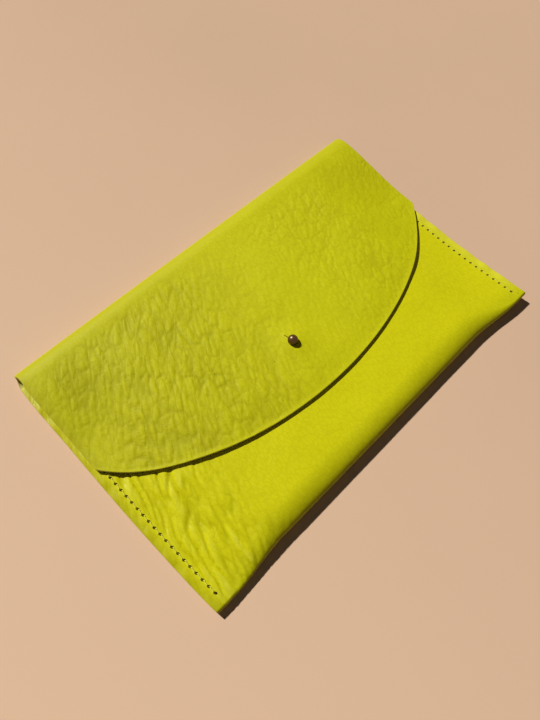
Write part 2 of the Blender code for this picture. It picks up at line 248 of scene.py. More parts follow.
# The creases follow noise cells stretched along the way the leather is drawn. All these
# are in millimetres of leather, apart from the depths, which are shares of the relief.
LEAN, UPPER_LEAN = 0.34, 0.15    # steps to the right for one step up the front
BEND, BEND_ROUND = -15, 35       # above this height the lean grows, this gently
CREASE_WIDTH = (4.1, 2.8)        # coarse creases, fine creases
CREASE_LENGTH = (9.5, 5.5)
SMALL_WIDTH, SMALL_LENGTH = 2.4, 5.2
DRIFT_RATE = 0.4                 # how fast the creases wander
DRIFT = (0.8, 0.5, 0.3)          # and how far, in cells
LINE_DEPTH, LINE_SPREAD = 0.38, 0.22
PILLOW_DEPTH, PILLOW_SPREAD = 0.5, 0.9
SMALL_DEPTH, SMALL_SPREAD = 0.2, 0.3
PATCH_SIZE, PATCH_MEAN, PATCH_SWING = 17, 0.8, 0.45
FAINTEST = 0.01                  # anything weaker is left smooth
WANDER_SEED = 7                  # keeps the wandering of the creases the same in each run
FOLD_SIZE = (4.6, 21)
SECOND_SIZE, SECOND_DEPTH = (3.4, 14), 0.3
FOLD_WANDER, WANDER_SIZE = 1.8, 14
FOLD_STEEPNESS, FOLD_ROUNDNESS = 3.2, 0.6
SLOW_WAVE = (34, 27)
QUICK_WAVE, QUICK_SHARE = (15, 13), 0.5
noise.seed_set(WANDER_SEED)


def smooth_noise(u, v, wide, high, seed):
    return noise.noise(Vector((u / wide, v / high, seed)))


def crease_gap(across, along, seed):
    """Distance from the nearest crease, in cells."""
    drift = noise.noise_vector(Vector((across * DRIFT_RATE, along * DRIFT_RATE, seed)))
    spot = Vector((
        across + DRIFT[0] * drift.x, along + DRIFT[1] * drift.y, seed + DRIFT[2] * drift.z))
    near, _ = noise.voronoi(spot)
    return near[1] - near[0]


def hollow(gap, spread):
    """-1 in a crease, 0 on the plump leather between creases."""
    t = min(gap / spread, 1)
    return t * t * (3 - 2 * t) - 1


def lean(v):
    """How far right the creases have run at the height v on the front."""
    return LEAN * v + UPPER_LEAN * np.sqrt((v - BEND) ** 2 + BEND_ROUND ** 2)


def crease_lay(x, q):
    """Sheet coordinates that follow the lean of the creases, in metres."""
    return np.stack([x - lean(q / MM) * MM, q + 0 * x], axis=-1)


def crease_relief(x, q, strength, fineness, seed):
    """Depth of the creases in the grain side. They run up and to the right over the
    upper part of the pouch, and nearly straight up towards the bottom fold."""
    relief = np.zeros(x.shape)
    for place in zip(*np.nonzero(strength >= FAINTEST)):
        u, v, fine = x[place] / MM, q[place] / MM, fineness[place]
        across = u - lean(v)
        gap = crease_gap(
            across / mix(*CREASE_WIDTH, fine), v / mix(*CREASE_LENGTH, fine), seed)
        small = crease_gap(across / SMALL_WIDTH, v / SMALL_LENGTH, seed + 7)
        height = LINE_DEPTH * hollow(gap, LINE_SPREAD) + PILLOW_DEPTH * hollow(gap, PILLOW_SPREAD)
        height = height + SMALL_DEPTH * hollow(small, SMALL_SPREAD)
        patch = smooth_noise(u, v, PATCH_SIZE, PATCH_SIZE, seed + 11)
        relief[place] = strength[place] * (PATCH_MEAN + PATCH_SWING * patch) * height
    return relief


def fold_relief(x, q, strength, seed):
    """Long soft folds beside the left seam, where the puffed panel is drawn together."""
    relief = np.zeros(x.shape)
    for place in zip(*np.nonzero(strength >= FAINTEST)):
        u, v = x[place] / MM, q[place] / MM
        wander = smooth_noise(u, v, WANDER_SIZE, WANDER_SIZE, seed + 5)
        across = u - lean(v) + FOLD_WANDER * wander
        valley = min(abs(FOLD_STEEPNESS * smooth_noise(across, v, *FOLD_SIZE, seed)), 1)
        second = smooth_noise(across, v, *SECOND_SIZE, seed + 2)
        height = valley ** FOLD_ROUNDNESS - 1 + SECOND_DEPTH * second
        relief[place] = strength[place] * height
    return relief


def long_waves(x, y):
    """Slow rise and fall of the leather where nothing holds it down."""
    waves = np.zeros(x.shape)
    for place in np.ndindex(x.shape):
        u, v = x[place] / MM, y[place] / MM
        slow, quick = smooth_noise(u, v, *SLOW_WAVE, 4.1), smooth_noise(u, v, *QUICK_WAVE, 9.7)
        waves[place] = slow + QUICK_SHARE * quick
    return waves


def add_object(name, bm, finishes):
    """Turns a finished bmesh into an object of the scene."""
    mesh = bpy.data.meshes.new(name)
    bm.to_mesh(mesh)
    bm.free()
    for finish in finishes:
        mesh.materials.append(finish)
    piece = bpy.data.objects.new(name, mesh)
    bpy.context.scene.collection.objects.link(piece)
    return piece


GRAIN, FLESH, EDGE = 0, 1, 2     # the three faces of a sheet, and their materials
FLESH_STEP = 3                   # the flesh side keeps one column and flat row in so many
SHARP_EDGE = math.radians(48)


def leather_piece(name, outer, inner, maps, flat_rows, tight_rows, finishes):
    """A closed sheet: grain side, flesh side and cut edges, with the edges eased.

    Its rim stays sharp in the first row and the tight rows, which have no room for a round.
    """
    rows, columns = outer.shape[:2]
    bm = bmesh.new()
    bmesh.ops.create_grid(bm, x_segments=columns - 1, y_segments=rows - 1, size=0.5)
    row, column = bm.verts.layers.int.new("row"), bm.verts.layers.int.new("column")
    for vert in bm.verts:
        vert[column] = round((vert.co.x + 0.5) * (columns - 1))
        vert[row] = round((vert.co.y + 0.5) * (rows - 1))
        vert.co = outer[vert[row], vert[column]]
    made = bmesh.ops.extrude_face_region(bm, geom=bm.faces[:], use_keep_orig=True)["geom"]
    inside = {item for item in made if isinstance(item, bmesh.types.BMVert)}
    for vert in inside:
        vert.co = inner[vert[row], vert[column]]
    for face in bm.faces:
        low = sum(vert in inside for vert in face.verts)
        in_fold = all(vert[row] == 0 for vert in face.verts)
        if low == 4 or (low == 2 and in_fold):
            face.material_index = FLESH
        else:
            face.material_index = EDGE if low == 2 else GRAIN
    spare = []
    for edge in bm.edges:
        sides = [face.material_index for face in edge.link_faces]
        if sides != [FLESH, FLESH] or not all(vert in inside for vert in edge.verts):
            continue
        first, second = edge.verts
        if first[row] != second[row]:
            drop = first[column] % FLESH_STEP
        else:
            drop = first[row] in flat_rows and first[row] % FLESH_STEP
        if drop:
            spare.append(edge)
    bmesh.ops.dissolve_edges(bm, edges=spare, use_verts=True)
    for face in bm.faces:
        face.smooth = True
    for map_name, spots in maps.items():
        uv = bm.loops.layers.uv.new(map_name)
        for face in bm.faces:
            for loop in face.loops:
                loop[uv].uv = spots[loop.vert[row], loop.vert[column]]
    bmesh.ops.recalc_face_normals(bm, faces=bm.faces[:])
    rim = []
    for edge in bm.edges:
        sides = {face.material_index for face in edge.link_faces}
        in_fold = any(vert[row] == 0 for vert in edge.verts)
        tight = all(vert in inside and vert[row] in tight_rows for vert in edge.verts)
        if len(sides) == 2 and EDGE in sides and not in_fold and not tight:
            rim.append(edge)
    bmesh.ops.bevel(
        bm, geom=rim, offset=RIM_ROUND, segments=2, profile=0.5, affect="EDGES", material=-1)
    piece = add_object(name, bm, finishes)
    for layer in ("row", "column"):
        piece.data.attributes.remove(piece.data.attributes[layer])
    return piece


def punch(piece, cutter):
    """Cuts the holes through the finished sheet; their walls are cut edge."""
    bmesh.ops.recalc_face_normals(cutter, faces=cutter.faces[:])
    for face in cutter.faces:
        face.material_index = EDGE
        face.smooth = True
    holder = add_object("punch", cutter, piece.data.materials)
    holes = piece.modifiers.new("holes", "BOOLEAN")
    holes.operation = "DIFFERENCE"
    holes.solver = "MANIFOLD"
    holes.object = holder
    depsgraph = bpy.context.evaluated_depsgraph_get()
    cut = bpy.data.meshes.new_from_object(piece.evaluated_get(depsgraph))
    piece.modifiers.clear()
    old, piece.data = piece.data, cut
    bpy.data.meshes.remove(old)
    bpy.data.objects.remove(holder)
    cut.set_sharp_from_angle(angle=SHARP_EDGE)


class Signal:
    """A socket inside a material; sums and products on it become Math nodes."""

    def __init__(self, tree, socket=None):
        self.tree, self.socket = tree, socket

    def node(self, kind, settings, inputs, output=0):
        """A node of any kind: settings first, then values or links for its sockets."""
        made = self.tree.nodes.new("ShaderNode" + kind)
        for key, value in settings.items():
            if key == "stops":
                elements = made.color_ramp.elements
                while len(elements) < len(value):
                    elements.new(0.5)
                for element, (position, shade) in zip(elements, value):
                    element.position = position
                    element.color = (shade, shade, shade, 1)
            else:
                setattr(made, key, value)
        for key, value in inputs.items():
            socket = made.inputs[key]
            if isinstance(value, Signal):
                self.tree.links.new(value.socket, socket)
            elif isinstance(value, tuple) and len(value) < len(socket.default_value):
                socket.default_value = (*value, 1)
            else:
                socket.default_value = value
        return Signal(self.tree, made.outputs[output]) if made.outputs else None

    def twin(self, output):
        """Another output of the same node."""
        return Signal(self.tree, self.socket.node.outputs[output])

    def math(self, operation, first, second):
        return self.node("Math", {"operation": operation}, {0: first, 1: second})

    def __add__(self, other):
        return self.math("ADD", self, other)

    __radd__ = __add__

    def __sub__(self, other):
        return self.math("SUBTRACT", self, other)

    def __rsub__(self, other):
        return self.math("SUBTRACT", other, self)

    def __mul__(self, other):
        return self.math("MULTIPLY", self, other)

    __rmul__ = __mul__


def new_material(name):
    finish = bpy.data.materials.new(name)
    finish.use_nodes = True
    finish.node_tree.nodes.clear()
    return finish, Signal(finish.node_tree)


def finish_with(start, inputs):
    """The principled shader and the output of a material."""
    shader = start.node("BsdfPrincipled", {}, inputs)
    start.node("OutputMaterial", {}, {"Surface": shader})


def tint(start, amount, low, high):
    """A colour between two, by an amount from 0 to 1."""
    return start.node("Mix", {"data_type": "RGBA"}, {0: amount, 6: low, 7: high}, output=2)


def ramp(start, value, *stops):
    return start.node("ValToRGB", {"stops": stops}, {"Fac": value})


LIME = (0.60, 0.585, 0.002)
LIME_DEEP = (0.50, 0.49, 0.001)
LIME_FRONT_LIT = (0.64, 0.61, 0.004)
LIME_PALE = (0.63, 0.62, 0.006)
LIME_SHEEN = (0.74, 0.71, 0.06)
LIME_CREASE_SHADE = (0.30, 0.28, 0.001)
LIME_RIM = (0.40, 0.39, 0.002)
LIME_EDGE = (0.43, 0.41, 0.004)
SPECK = (0.12, 0.10, 0.01)
FLESH_DARK, FLESH_PALE, FLESH_CLOUD = (0.40, 0.36, 0.06), (0.62, 0.57, 0.16), (0.50, 0.46, 0.10)
CUT_DARK, CUT_PALE, CUT_CLOUD = (0.44, 0.36, 0.11), (0.66, 0.56, 0.22), (0.52, 0.47, 0.10)
PER_SHEET = 5                    # the ramps along the sheet count in fifths of a metre


def fine_grain(start, place):
    """Small folds and pores; place is in millimetres of leather."""
    wander = start.node("TexNoise", {}, {"Vector": place, "Scale": 0.5, "Detail": 2.0}, output=1)
    bent = start.node("VectorMath", {"operation": "SCALE"}, {0: wander, "Scale": 1.1})
    bent = start.node("VectorMath", {"operation": "ADD"}, {0: place, 1: bent})
    pores = start.node(
        "TexVoronoi", {"feature": "SMOOTH_F1"}, {"Vector": bent, "Scale": 2.3, "Smoothness": 0.4})
    turned = {"Vector": bent, "Rotation": (0, 0, 0.55), "Scale": (1.0, 0.45, 1.0)}
    folds = start.node("Mapping", {}, turned)
    folds = start.node(
        "TexVoronoi", {"feature": "DISTANCE_TO_EDGE"}, {"Vector": folds, "Scale": 0.62})
    return ramp(start, folds, (0, 0.0), (0.18, 1.0)), pores


def crease_network(start, drawn):
    """Crisp valleys and the plump leather between them, as strong as it is drawn."""
    lay = start.node("UVMap", {"uv_map": "lay"}, {})
    lay = start.node("Mapping", {}, {"Vector": lay, "Scale": (300, 115, 1)})
    swerve = start.node("TexNoise", {}, {"Vector": lay, "Scale": 0.7, "Detail": 1.0}, output=1)
    swerve = start.node("VectorMath", {"operation": "SCALE"}, {0: swerve, "Scale": 0.5})
    lay = start.node("VectorMath", {"operation": "ADD"}, {0: lay, 1: swerve})
    cells = start.node(
        "TexVoronoi", {"feature": "DISTANCE_TO_EDGE"}, {"Vector": lay, "Scale": 1.0})
    patchy = start.node("TexNoise", {}, {"Vector": lay, "Scale": 0.35, "Detail": 2.0})
    patchy = ramp(start, patchy, (0.36, 0.0), (0.62, 1.0))
    valley = (1 - ramp(start, cells, (0.0, 0.0), (0.2, 1.0))) * patchy * drawn
    plump = ramp(start, cells, (0.0, 0.0), (0.5, 1.0)) * drawn
    return valley, plump


def margin_ramp(start, outward, begins, width):
    """0 on the panel, 1 out on a sewn margin."""
    return ramp(start, (outward - begins) * (1 / width), (0, 0.0), (1, 1.0))


def grain_leather():
    """Drum dyed cloudy lime grain; painted shade in creases, painted sheen on crests, toned
    margins.
    """
    finish, start = new_material("lime_leather_grain")
    sheet = start.node("UVMap", {"uv_map": "grain"}, {})
    across = start.node("SeparateXYZ", {}, {0: sheet})
    along = across.twin("Y")
    depth = start.node("SeparateXYZ", {}, {0: start.node("UVMap", {"uv_map": "depth"}, {})})
    place = start.node("Mapping", {}, {"Vector": sheet, "Scale": (1000, 1000, 1000)})
    folds, pores = fine_grain(start, place)
    valley, plump = crease_network(start, depth.twin("Y"))

    cloud = start.node(
        "TexNoise", {}, {"Vector": place, "Scale": 0.045, "Detail": 3.0, "Roughness": 0.6})
    mottle = start.node(
        "TexNoise", {}, {"Vector": place, "Scale": 0.45, "Detail": 3.0, "Roughness": 0.5})
    # Painted shade: darker towards the left end and a little towards the right, with random clouds
    # of deeper lime.
    painted_end_shade = ramp(
        start, across * PER_SHEET + 0.5, (0.12, 0.0), (0.52, 1.0), (0.66, 1.0), (0.9, 0.4))
    clouds_and_painted_shade = ramp(start, cloud, (0.3, 0.0), (0.7, 1.0)) * 0.4 + painted_end_shade * 0.6
    colour = tint(start, clouds_and_painted_shade, LIME_DEEP, LIME)
    # Painted light: the front panel gets a lighter lime than the flap and the back.
    front = ramp(start, along * PER_SHEET, (0.72, 0.0), (0.76, 1.0))
    colour = tint(start, front, colour, LIME_FRONT_LIT)
    colour = tint(start, (mottle - 0.45) * 1.2, colour, LIME_PALE)
    # Painted shade: darker lime in the fine folds, the deep creases and the crease network.
    colour = tint(start, (1 - folds) * 0.16, colour, LIME_CREASE_SHADE)
    colour = tint(start, depth * 0.7, colour, LIME_CREASE_SHADE)
    colour = tint(start, valley * 0.28, colour, LIME_CREASE_SHADE)
    # Painted sheen: paler lime on the crests of the drawn folds.
    colour = tint(start, (depth + 0.05) * -1.2, colour, LIME_SHEEN)

    from_fold = start.node("Math", {"operation": "ABSOLUTE"}, {0: along})
    near_fold = ramp(start, from_fold * 100, (0.45, 1.0), (1.0, 0.0))
    colour = tint(start, near_fold * 0.8, colour, LIME_RIM)
    # Darker lime out on the left sewn margin, and paler lime out on the right one on the front.
    left_margin = margin_ramp(start, -1 * across, SEAM_X + 0.6 * MM, 4.3 * MM)
    colour = tint(start, left_margin * 0.9, colour, LIME_EDGE)
    right_margin = margin_ramp(start, across, SEAM_X + 0.3 * MM, 2 * MM)
    colour = tint(start, right_margin * front * 0.4, colour, LIME_SHEEN)
    specks = start.node("TexVoronoi", {}, {"Vector": place, "Scale": 0.11})
    specks = ramp(start, specks, (0.0, 1.0), (0.022, 1.0), (0.032, 0.0))
    colour = tint(start, specks * 0.7, colour, SPECK)

    height = folds * 0.017 + pores * 0.007 + mottle * 0.006 + plump * 0.19 - valley * 0.05
    bump = start.node("Bump", {}, {"Strength": 1.0, "Distance": MM, "Height": height})
    finish_with(start, {
        "Base Color": colour, "Roughness": 0.5 + mottle * 0.16 - front * 0.17, "Normal": bump,
        "Specular IOR Level": 0.14})
    return finish


def flesh_leather():
    """Napped underside, paler and matt, with short fibres."""
    finish, start = new_material("lime_leather_flesh")
    place = start.node("TexCoord", {}, {}, output=3)
    fibre = start.node(
        "Mapping", {}, {"Vector": place, "Rotation": (0, 0, 0.5), "Scale": (1500, 420, 900)})
    fibre = start.node(
        "TexNoise", {}, {"Vector": fibre, "Scale": 1.0, "Detail": 5.0, "Roughness": 0.7})
    cloud = start.node("TexNoise", {}, {"Vector": place, "Scale": 60.0, "Detail": 3.0})
    colour = tint(start, fibre, FLESH_DARK, FLESH_PALE)
    colour = tint(start, cloud * 0.5, colour, FLESH_CLOUD)
    bump = start.node("Bump", {}, {"Strength": 0.6, "Distance": 0.12 * MM, "Height": fibre})
    finish_with(start, {
        "Base Color": colour, "Roughness": 0.8 + fibre * 0.15, "Normal": bump,
        "Specular IOR Level": 0.2, "Sheen Weight": 0.2, "Sheen Roughness": 0.5})
    return finish


def cut_leather():
    """Cut edge: raw fibres between two dyed faces, khaki."""
    finish, start = new_material("lime_leather_cut_edge")
    place = start.node("TexCoord", {}, {}, output=3)
    fibre = start.node("Mapping", {}, {"Vector": place, "Scale": (1600, 1600, 3800)})
    fibre = start.node(
        "TexNoise", {}, {"Vector": fibre, "Scale": 1.0, "Detail": 4.0, "Roughness": 0.7})
    cloud = start.node("TexNoise", {}, {"Vector": place, "Scale": 220.0, "Detail": 2.0})
    colour = tint(start, fibre, CUT_DARK, CUT_PALE)
    colour = tint(start, cloud * 0.6, colour, CUT_CLOUD)
    bump = start.node("Bump", {}, {"Strength": 0.5, "Distance": 0.08 * MM, "Height": fibre})
    finish_with(start, {
        "Base Color": colour, "Roughness": 0.75 + fibre * 0.15, "Normal": bump,
        "Specular IOR Level": 0.25})
    return finish


leather_finishes = [grain_leather(), flesh_leather(), cut_leather()]

# Columns are closer together along the two seams, where the stitches sink in, and in
# the folds beside the left one.
DRAWN_X = -62 * MM
DRAWN_COLUMNS, MIDDLE_COLUMNS, MARGIN_COLUMNS = 81, 174, 5
FOLD_ROWS, BACK_ROWS, UNDER_ROWS, UPPER_ROWS, FRONT_ROWS = 10, 104, 6, 14, 128
beside_seam = np.array([-1.05, -0.65, -0.32, 0, 0.32, 0.65, 1.05]) * MM
right_seam = SEAM_X + beside_seam
margin = np.linspace(right_seam[-1], HALF_WIDTH, MARGIN_COLUMNS + 1)[1:]
drawn_side = np.linspace(-right_seam[0], DRAWN_X, DRAWN_COLUMNS + 1)[1:]
middle = np.concatenate([
    drawn_side, np.linspace(DRAWN_X, right_seam[0], MIDDLE_COLUMNS + 2)[1:-1]])
right_side = np.concatenate([right_seam, margin])
pouch_columns = np.concatenate([-right_side[::-1], middle, right_side])


def places(count, first=False):
    """Even steps along a stretch; a narrow first row keeps the fold's middle round."""
    steps = [step / count for step in range(1, count + 1)]
    return [0, 0.01, *steps] if first else steps


x = pouch_columns
pouch_stretches = [
    (fold_turn(x, fold_radius(x), -1), places(FOLD_ROWS, first=True)),
    (back_section(x), places(BACK_ROWS)),
    (under_roll(x), places(UNDER_ROWS)),
    (upper_roll(x), places(UPPER_ROWS)),
    (front_section(x), places(FRONT_ROWS)),
]

SLIP_END = 4 * MM                # the slipped side is straight again this near the fold


def pocket_place(x, y):
    """Sideways place of the pocket's points; its left side slips out beside the fold."""
    slip = beyond(y, 20, 40) * ease((HALF_DEPTH - y) / SLIP_END)
    return pocket_shift(y) - PLY_SLIP * slip * near_side(x, -1, 3)


pouch_face = lay_sheet(x, pouch_stretches, pocket_place)
first_back = len(pouch_stretches[0][1])
first_roll = first_back + BACK_ROWS
first_front = first_roll + UNDER_ROWS + UPPER_ROWS

sheet_x = np.broadcast_to(x, pouch_face.shape[:2])
run = run_length(pouch_face)
q = MOUTH_Y - (run[-1] - run)     # height up the front, going on over the roll and the back
y_place = pouch_face[..., 1]


def rows_after(row, span):
    """0 before a row, 1 from a number of rows further on."""
    return ease(np.linspace(-row, len(run) - 1 - row, len(run)) / span)[:, None]


on_front = rows_after(first_roll + UNDER_ROWS, 12)
on_back = 1 - rows_after(first_roll - 8, 8)
near_seam = np.exp(-((abs(sheet_x) - SEAM_X) / (1.0 * MM)) ** 2)
off_stitches = 1 - 0.85 * near_seam
off_fold = ease(run / (9 * MM) - 0.6)

# Creases all over, stronger to the left, and long folds beside the left seam.
POCKET_CREASES, POCKET_LEFT, POCKET_BACK = 0.12, 0.2, 0.8
strength = POCKET_CREASES + POCKET_LEFT * before(sheet_x, -40, 40)
strength = strength * mix(1, POCKET_BACK, on_back)
fineness = beyond(sheet_x, -40, 60)
relief = RELIEF * crease_relief(sheet_x, q, strength * off_stitches * off_fold, fineness, 2.0)
drawn = before(sheet_x, -60, 24) * mix(0.25, 1, ease((sheet_x + SEAM_X) / (3 * MM)))
folds = fold_relief(sheet_x, q, drawn * off_stitches * on_front, 5.0)
# The depth also paints colour: shade into crease and fold valleys, and sheen onto fold crests.
depth = np.clip(-relief / RELIEF - 0.1 - 0.55 * (folds + 0.35 * drawn * on_front), -1, 1)
relief = relief + FOLD_RELIEF * folds
crisp = (0.08 + 0.5 * before(sheet_x, -50, 30)) * on_front * (1 - near_seam) * off_fold

WAVE_HEIGHT = 0.32 * MM
EDGE_WAVE, EDGE_WAVE_RUN, EDGE_WANDER_RUN = 0.16 * MM, 2.3 * MM, 7.1 * MM
waves = WAVE_HEIGHT * long_waves(sheet_x, y_place) * on_front * puff(sheet_x)
wander = 1.5 * np.sin(q / EDGE_WANDER_RUN)
edge_wave = EDGE_WAVE * np.sin(q / EDGE_WAVE_RUN + wander + np.sign(sheet_x))
edge_wave = edge_wave * ease((abs(sheet_x) - SEAM_X) / (4 * MM)) * on_front

# The stitches press a groove, deepest where the thread enters the awl holes.
SEAM_END, SEAM_FADE = 1.6 * MM, 1.2 * MM
stitch_y = FIRST_STITCH + STITCH_PITCH * np.arange(STITCHES)
in_seam = ease((y_place - stitch_y[0] + SEAM_END) / SEAM_FADE)
in_seam = in_seam * ease((stitch_y[-1] + SEAM_END - y_place) / SEAM_FADE)
in_seam = in_seam * np.maximum(on_front, on_back)
pull = 0.75 + 0.25 * np.cos(2 * np.pi * (y_place - stitch_y[0]) / STITCH_PITCH)
groove = GROOVE_DEPTH * np.exp(-((abs(sheet_x) - SEAM_X) / GROOVE_WIDTH) ** 2) * in_seam * pull

normals = face_normals(pouch_face)
base = pouch_face + normals * (waves + edge_wave)[..., None]
outer = base + normals * (relief - groove)[..., None]
inner = base - normals * LEATHER
maps = {
    "grain": np.stack([sheet_x, run], axis=-1),
    "lay": crease_lay(sheet_x, q),
    "depth": np.stack([depth, crisp], axis=-1),
}
flat_rows = set(range(first_back + 4, first_roll - 4)) | set(range(first_front + 6, len(run) - 4))
tight_rows = set(range(first_roll - 4, first_front + 4))
pocket = leather_piece(
    "pocket_leather", outer, inner, maps, flat_rows, tight_rows, leather_finishes)


def add_cylinder(bm, radius, low, high, segments):
    made = bmesh.ops.create_cone(
        bm, cap_ends=True, segments=segments, radius1=radius, radius2=radius,
        depth=(high - low).length)
    bmesh.ops.translate(bm, verts=made["verts"], vec=(low + high) / 2)
    return made["verts"]


# The awl leaves slanting slits with rounded ends.
AWL_LONG, AWL_WIDE, AWL_SLANT = 1.85 * MM, 1.15 * MM, math.radians(28)
AWL_LOW, AWL_HIGH = Vector((0, 0, -6 * MM)), Vector((0, 0, 14 * MM))
holes = bmesh.new()
for side in (-1, 1):
    for y in stitch_y:
        centre = Vector((side * SEAM_X + pocket_place(side * SEAM_X, y), y, 0))
        verts = add_cylinder(holes, 0.5, AWL_LOW, AWL_HIGH, 10)
        bmesh.ops.scale(holes, verts=verts, vec=(AWL_WIDE, AWL_LONG, 1))
        bmesh.ops.rotate(
            holes, verts=verts, cent=(0, 0, 0), matrix=Matrix.Rotation(AWL_SLANT, 3, "Z"))
        bmesh.ops.translate(holes, verts=verts, vec=centre)

# The stud's flange sits in a shallow seat, and its screw comes up through a bore.
FLANGE_RADIUS = 3.3 * MM
SEAT_DEPTH, SEAT_ROOM = 0.4 * MM, 0.2 * MM
BORE_RADIUS = 1.25 * MM
seat = Vector((STUD_X, STUD_Y, float(front_height(STUD_X, STUD_Y)) - SEAT_DEPTH))
ply = Vector((0, 0, LEATHER))
add_cylinder(holes, FLANGE_RADIUS + SEAT_ROOM, seat, seat + 2 * ply, 48)
punch(pocket, holes)
bore = bmesh.new()
add_cylinder(bore, BORE_RADIUS, seat - 2 * ply, seat + ply, 32)
punch(pocket, bore)
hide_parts("pouch_shell", "top_fold")
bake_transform(pocket)

# Flap, with the upper half of the top fold
# The same sheet goes on over the top fold and down the front. Its free edge is cut to a
# shallow curve, and a hole with a short slit above it buttons over the stud.
FLAP_LENGTH = 101.5 * MM
FLAP_SIDE = 59 * MM
FLAP_ROUND = 10 * MM
FLAP_TAPER, TAPER_RUN = 1.1 * MM, 55 * MM    # the right side slants in to its corner
FOLD_OPENS, OPENING = 0.7 * MM, 1.6 * MM     # the left end of the fold is drawn in
FLAP_SETTLE = 24 * MM            # the flap comes down on the pocket over this length
SIDE_SETTLE = 44 * MM            # and over this one at its two sides
FLAP_CLEARANCE = 0.5 * MM        # air between the flap and the pocket
EDGE_CLEARANCE = 0.12 * MM       # and under the free edge: middle, left and right
LEFT_EDGE_CLEARANCE = 0.7 * MM
RIGHT_EDGE_CLEARANCE = 0.5 * MM
EDGE_RUN = 14 * MM
FOLD_RUN = 8 * MM                # the flap begins to round over this far from the fold
FLAP_COLUMNS, FLAP_FOLD_ROWS, FLAP_ROWS = 391, 14, 160
KEYHOLE_RADIUS = 2.36 * MM
SLIT_LENGTH, SLIT_WIDTH, SLIT_SLANT = 2.5 * MM, 0.35 * MM, math.radians(9)


def flap_edge(x):
    reach = HALF_WIDTH + FLAP_ROUND
    height = (FLAP_LENGTH - FLAP_SIDE) / (1 - math.sqrt(1 - (HALF_WIDTH / reach) ** 2))
    return HALF_DEPTH - FLAP_LENGTH + height * (1 - np.sqrt(1 - (x / reach) ** 2))


def flap_section(x):
    def section(t):
        start = HALF_DEPTH - FOLD_RUN
        y = mix(start, flap_edge(x), t)
        edge_clearance = mix(LEFT_EDGE_CLEARANCE, EDGE_CLEARANCE, beyond(x, -95, 80))
        edge_clearance = mix(edge_clearance, RIGHT_EDGE_CLEARANCE, beyond(x, 45, 45))
        clearance = mix(edge_clearance, FLAP_CLEARANCE, ease((y - flap_edge(x)) / EDGE_RUN))
        lying = front_height(x, y) + clearance + LEATHER
        settle = mix(SIDE_SETTLE, FLAP_SETTLE, puff(x))
        return y, mix(2 * fold_radius(x), lying, ease((start - y) / settle))
    return section


x = np.linspace(-HALF_WIDTH, HALF_WIDTH, FLAP_COLUMNS)
flap_stretches = [
    (fold_turn(x, FOLD_RUN, 1), places(FLAP_FOLD_ROWS, first=True)),
    (flap_section(x), places(FLAP_ROWS)),
]


def flap_place(x, y):
    """Its right side slants in, and its left end is drawn in where the fold opens."""
    taper = FLAP_TAPER * near_side(x, 1, 3) * ease((HALF_DEPTH - y) / TAPER_RUN)
    opened = ease((HALF_DEPTH - OPENING - y) / OPENING) * beyond(y, 57, 5)
    return FOLD_SHIFT - taper + FOLD_OPENS * opened * near_side(x, -1, 12)


flap_face = lay_sheet(x, flap_stretches, flap_place)
sheet_x = np.broadcast_to(x, flap_face.shape[:2])
run = run_length(flap_face)
q = HALF_DEPTH + 2.3 * MM - run   # goes on from the pocket's, so the creases match
y_place = flap_face[..., 1]

# Creases strong at the left, faint at the right, and almost none on the fold and the rim.
FLAP_CREASES, FLAP_LEFT, FLAP_RIGHT, FLAP_CORNER = 0.2, 0.6, 0.22, 1.25
FLAP_MARGIN, FLAP_RIM, RIM_WIDTH = 0.55, 0.1, 2.5 * MM
left = before(sheet_x, 20, 75)
right = beyond(sheet_x, 14, 30) * mix(1, 0.4, beyond(sheet_x, 62, 25))
strength = (FLAP_CREASES + FLAP_LEFT * left + FLAP_RIGHT * right) * before(q, 64, 14)
strength = strength * mix(1, FLAP_CORNER, before(q, 15, 25) * before(sheet_x, -55, 25))
strength = strength * mix(FLAP_MARGIN, 1, beyond(sheet_x, -102, 16))
strength = strength * mix(FLAP_RIM, 1, ease((run[-1] - run) / RIM_WIDTH))
fineness = 0.5 * beyond(sheet_x, -10, 60)
relief = RELIEF * crease_relief(sheet_x, q, strength, fineness, 31.0)
# The depth also paints colour: shade into the crease valleys.
depth = np.clip(-relief / RELIEF - 0.1, -1, 1)
crisp = np.clip(strength * (0.4 + 0.65 * left + 0.5 * right), 0, 1)
waves = WAVE_HEIGHT * long_waves(sheet_x, y_place) * puff(sheet_x) * before(y_place, 56, 20)

# The leather stands up in thin lips along the slit and in a low mound round the stud.
LIP_HEIGHT, LIP_FROM, LIP_WIDTH = 0.16 * MM, 0.5 * MM, 0.55 * MM
MOUND_HEIGHT, MOUND_TOP, MOUND_WIDTH = 0.75 * MM, 2 * MM, 6.5 * MM
aside, ahead = flap_face[..., 0] - STUD_X, y_place - STUD_Y
beside = abs(aside * math.cos(SLIT_SLANT) + ahead * math.sin(SLIT_SLANT))
along = ahead * math.cos(SLIT_SLANT) - aside * math.sin(SLIT_SLANT)
past_slit = np.maximum(np.maximum(along - KEYHOLE_RADIUS - SLIT_LENGTH, -along), 0)
from_slit = np.hypot(beside, past_slit)
lips = LIP_HEIGHT * np.exp(-((from_slit - LIP_FROM) / LIP_WIDTH) ** 2) * (along > 0)
from_top = np.maximum(np.hypot(beside, along) - MOUND_TOP, 0)
mound = MOUND_HEIGHT * np.exp(-(from_top / MOUND_WIDTH) ** 2)

normals = -face_normals(flap_face)
base = flap_face + normals * waves[..., None]
outer = base + normals * (relief + lips + mound)[..., None]
inner = base + normals * (mound - LEATHER)[..., None]
maps = {
    "grain": np.stack([sheet_x, -run], axis=-1),
    "lay": crease_lay(sheet_x, q),
    "depth": np.stack([depth, crisp], axis=-1),
}
flat_rows = set(range(20, len(run) - 4))
flap = leather_piece("flap_leather", outer, inner, maps, flat_rows, set(), leather_finishes)

